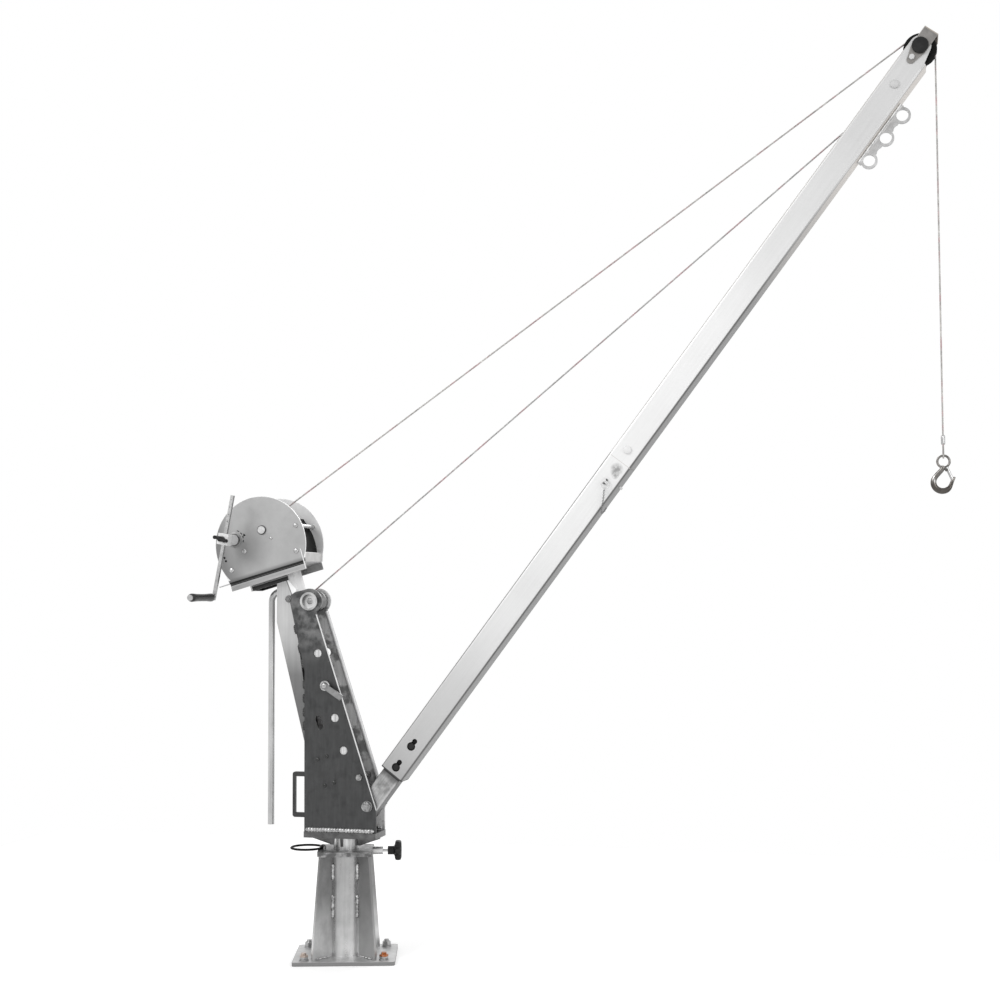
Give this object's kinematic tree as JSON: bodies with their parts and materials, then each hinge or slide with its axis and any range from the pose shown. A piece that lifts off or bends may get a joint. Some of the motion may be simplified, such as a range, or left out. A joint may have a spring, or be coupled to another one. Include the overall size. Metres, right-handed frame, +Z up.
{
  "type": "davit crane",
  "caption": "Swivelling davit crane with a floor-mounted foot, slanted mast, hand winch, two-section luffing boom held by a wire rope, and a sling hook on a hoist rope.",
  "frame": {"origin": "slewing axis at the underside of the base plate", "axes": "+Z up along the slewing axis, +X from the mast towards the boom head, -Y towards the crank"},
  "size_m": [2.2274, 0.4792, 2.7254],
  "materials": {
    "steel": "satin",
    "rope": "satin",
    "plastic": "matte",
    "black_steel": "satin",
    "hardware": "gloss",
    "gear_steel": "satin"
  },
  "bodies": {
    "foot": {"base_plate": "steel", "foot_tube": "steel", "foot_gussets": "steel", "foot_flange": "steel", "foot_welds": "steel", "anchor_bolts": "hardware", "foot_bushes": "plastic", "thrust_block": "plastic"},
    "clamp": {"clamp_screw": "hardware", "star_knob": "plastic"},
    "lash_ring": {"lashing_ring": "black_steel"},
    "mast": {"spigot": "steel", "mast_floor": "steel", "mast_gussets": "steel", "mast_plate_near": "steel", "mast_plate_far": "steel", "mast_spine": "steel", "mast_welds": "steel", "top_tube": "steel", "carry_handle": "black_steel", "push_rod": "steel", "mast_bolts": "hardware", "winch_post": "steel", "winch_tray": "steel", "winch_plate_near": "steel", "winch_plate_far": "steel", "winch_ties": "hardware", "winch_front": "plastic", "drum_axle": "hardware", "luff_tail": "rope"},
    "roller": {"luff_roller": "plastic"},
    "lock_pin_body": {"lock_pin": "hardware"},
    "tag": {"pin_tag": "steel"},
    "drum_body": {"drum": "gear_steel", "drum_rope": "rope", "drum_gear": "gear_steel"},
    "crank": {"crank_shaft": "steel", "ratchet_wheel": "gear_steel"},
    "arm": {"crank_arm": "steel"},
    "wing": {"wing_screw": "plastic"},
    "grip_body": {"grip": "plastic"},
    "pawl_body": {"pawl": "gear_steel"},
    "boom": {"boom_inner": "steel", "boom_lower": "steel", "boom_upper": "steel", "boom_bolts": "hardware", "lug_plate": "steel", "sheave_axle": "plastic", "rope_guard": "steel", "pin_chain": "hardware"},
    "ring_pin_body": {"ring_pin": "hardware"},
    "sheave": {"head_sheave": "plastic"},
    "luff_line": {"luff_rope": "rope"},
    "luff_line_end": {"luff_eye": "rope"},
    "hoist_line": {"hoist_rope": "rope"},
    "hoist_line_end": {"hoist_end": "rope"},
    "fall_line": {"fall_rope": "rope"},
    "rope_end": {"rope_loop": "hardware"},
    "hook_body": {"hook": "hardware"},
    "latch": {"hook_latch": "hardware"}
  },
  "joints": [
    {"name": "slew", "type": "hinge", "parent": "foot", "child": "mast", "pos_m": [0, 0, 0.34], "axis": [0, 0, 1], "continuous": true},
    {"name": "knob_turn", "type": "hinge", "parent": "foot", "child": "clamp", "pos_m": [0.09627, 0.02706, 0.322], "axis": [0.9627, 0.2706, 0], "range_deg": [-90, 720]},
    {"name": "ring_flip", "type": "hinge", "parent": "foot", "child": "lash_ring", "pos_m": [-0.06883, -0.01935, 0.3327], "axis": [-0.2706, 0.9627, 0], "range_deg": [0, 20]},
    {"name": "luff", "type": "hinge", "parent": "mast", "child": "boom", "pos_m": [0.0823, 0, 0.464], "axis": [0, -1, 0], "range_deg": [0, 18]},
    {"name": "roller_turn", "type": "hinge", "parent": "mast", "child": "roller", "pos_m": [-0.1053, 0, 1.0864], "axis": [0, -1, 0], "continuous": true},
    {"name": "luff_rope_swing", "type": "hinge", "parent": "boom", "child": "luff_line_end", "pos_m": [1.67542, 0, 2.56286], "axis": [0, -1, 0], "range_deg": [-0.1, 2.92]},
    {"name": "luff_rope_pay", "type": "slide", "parent": "luff_line_end", "child": "luff_line", "axis": [0.7766, 0, 0.63], "range_m": [-0.004, 0.174], "deforming": ["luff_rope"]},
    {"name": "lock_pin_pull", "type": "slide", "parent": "mast", "child": "lock_pin_body", "axis": [0, -1, 0], "range_m": [0, 0.115]},
    {"name": "tag_turn", "type": "hinge", "parent": "lock_pin_body", "child": "tag", "pos_m": [-0.0504, -0.062, 0.8278], "axis": [0, -1, 0], "continuous": true},
    {"name": "drum_spin", "type": "hinge", "parent": "mast", "child": "drum_body", "pos_m": [-0.25019, 0, 1.30721], "axis": [0, -1, 0], "range_deg": [-1539, 1250]},
    {"name": "crank_turn", "type": "hinge", "parent": "mast", "child": "crank", "pos_m": [-0.34142, 0, 1.27706], "axis": [0, -1, 0], "range_deg": [-5422, 6674]},
    {"name": "arm_shift", "type": "slide", "parent": "crank", "child": "arm", "axis": [0.1891, 0, 0.982], "range_m": [-0.05, 0.05]},
    {"name": "wing_turn", "type": "hinge", "parent": "crank", "child": "wing", "pos_m": [-0.34142, -0.17, 1.27706], "axis": [0, -1, 0], "range_deg": [-360, 90]},
    {"name": "grip_spin", "type": "hinge", "parent": "arm", "child": "grip_body", "pos_m": [-0.37565, -0.24, 1.09933], "axis": [0, -1, 0], "continuous": true},
    {"name": "pawl_turn", "type": "hinge", "parent": "mast", "child": "pawl_body", "pos_m": [-0.30741, -0.045, 1.24162], "axis": [0, -1, 0], "range_deg": [-25, 0], "stiffness_Nm_per_rad": 0.05, "springref_deg": 17.19},
    {"name": "hoist_rope_swing", "type": "hinge", "parent": "boom", "child": "hoist_line_end", "pos_m": [1.74803, 0, 2.66844], "axis": [0, -1, 0], "range_deg": [-0.1, 2.93]},
    {"name": "hoist_rope_pay", "type": "slide", "parent": "hoist_line_end", "child": "hoist_line", "axis": [0.8235, 0, 0.5673], "range_m": [-0.004, 0.265], "deforming": ["hoist_rope"]},
    {"name": "sheave_turn", "type": "hinge", "parent": "boom", "child": "sheave", "pos_m": [1.74803, 0, 2.66844], "axis": [0, -1, 0], "range_deg": [-1087, 883]},
    {"name": "fall_plumb", "type": "hinge", "parent": "boom", "child": "fall_line", "pos_m": [1.74803, 0, 2.66844], "axis": [0, -1, 0], "range_deg": [-19, 1]},
    {"name": "hook_lift", "type": "slide", "parent": "fall_line", "child": "rope_end", "axis": [0, 0, 1], "range_m": [-0.81, 0.66], "deforming": ["fall_rope"]},
    {"name": "hook_swing", "type": "hinge", "parent": "rope_end", "child": "hook_body", "pos_m": [1.79033, 0, 1.4902], "axis": [0, -1, 0], "range_deg": [-30, 30]},
    {"name": "latch_open", "type": "hinge", "parent": "hook_body", "child": "latch", "pos_m": [1.79783, 0, 1.453], "axis": [0, 1, 0], "range_deg": [0, 32], "stiffness_Nm_per_rad": 0.02, "springref_deg": -17.19},
    {"name": "ring_pin_pull", "type": "slide", "parent": "boom", "child": "ring_pin_body", "axis": [0, -1, 0], "range_m": [0, 0.105]}
  ],
  "couplings": [
    {"joint": "luff_rope_swing", "follows": "luff", "ratio": 0.15694},
    {"joint": "luff_rope_pay", "follows": "luff", "m_per_rad": 0.54113},
    {"joint": "hoist_rope_swing", "follows": "luff", "ratio": 0.15708},
    {"joint": "hoist_rope_pay", "follows": "luff", "m_per_rad": 0.83031},
    {"joint": "fall_plumb", "follows": "luff", "ratio": -1},
    {"joint": "crank_turn", "follows": "drum_spin", "ratio": -4.3333},
    {"joint": "sheave_turn", "follows": "drum_spin", "ratio": 0.70449},
    {"joint": "hook_lift", "follows": "drum_spin", "m_per_rad": 0.0298}
  ]
}
